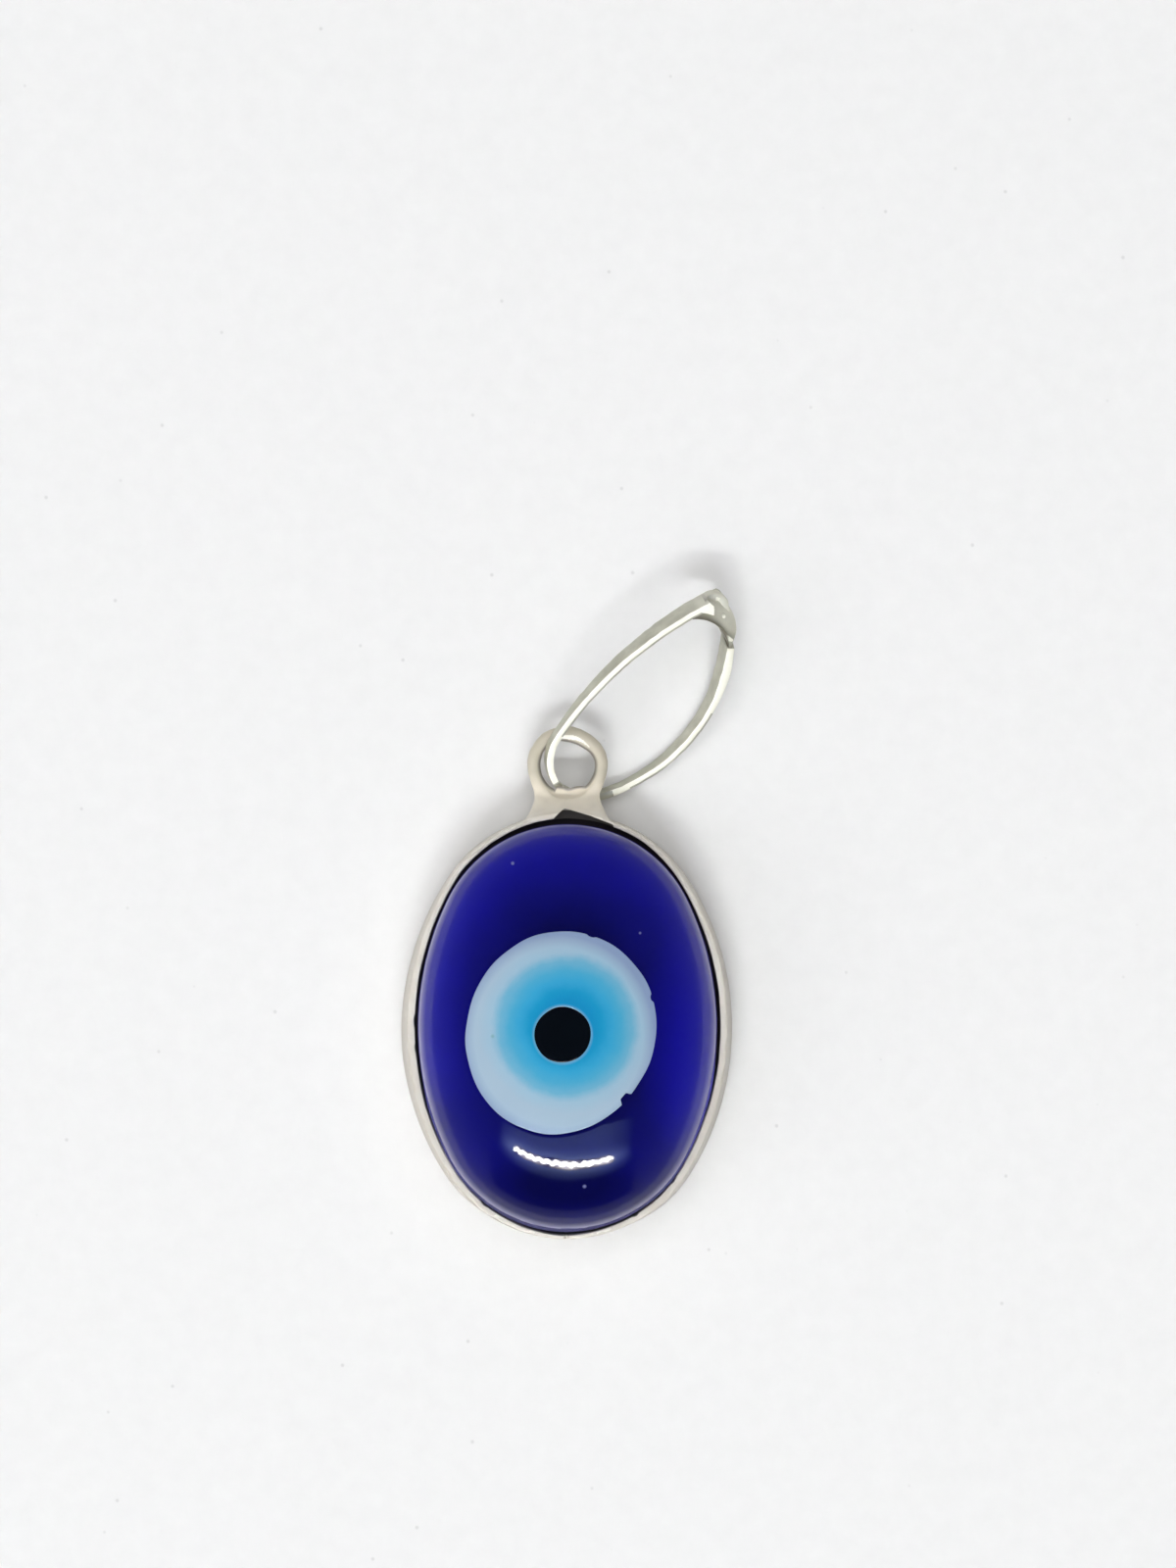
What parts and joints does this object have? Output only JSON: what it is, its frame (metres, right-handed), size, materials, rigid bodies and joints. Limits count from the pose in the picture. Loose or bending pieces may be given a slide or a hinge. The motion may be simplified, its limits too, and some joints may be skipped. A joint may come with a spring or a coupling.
{
  "type": "evil eye pendant",
  "caption": "Oval pendant with a domed blue glass eye in a plain silver bezel, a soldered eyelet and a loose teardrop bail of tapered flat strip.",
  "frame": {"origin": "centre of the back plate's flat outer face, on which the pendant lies", "axes": "+Z out of the back through the glass dome, +Y from the middle towards the eyelet, +X to the right as the eye is seen with the eyelet up"},
  "size_m": [0.0135, 0.0265, 0.0051],
  "materials": {
    "silver": "sterling silver, worn polish with fine scratches and pits",
    "silver_bail": "bright silver strip, drawn and slightly hammered",
    "cobalt_glass": "polished deep cobalt glass with small bubbles",
    "white_glass": "polished opaque white glass, faintly blue",
    "blue_glass": "polished light blue glass that fades into the white",
    "black_glass": "polished black glass"
  },
  "bodies": {
    "root": {"setting": "silver", "cabochon": "cobalt_glass", "eye_white": "white_glass", "eye_iris": "blue_glass", "eye_pupil": "black_glass", "bail": "silver_bail"}
  },
  "joints": []
}
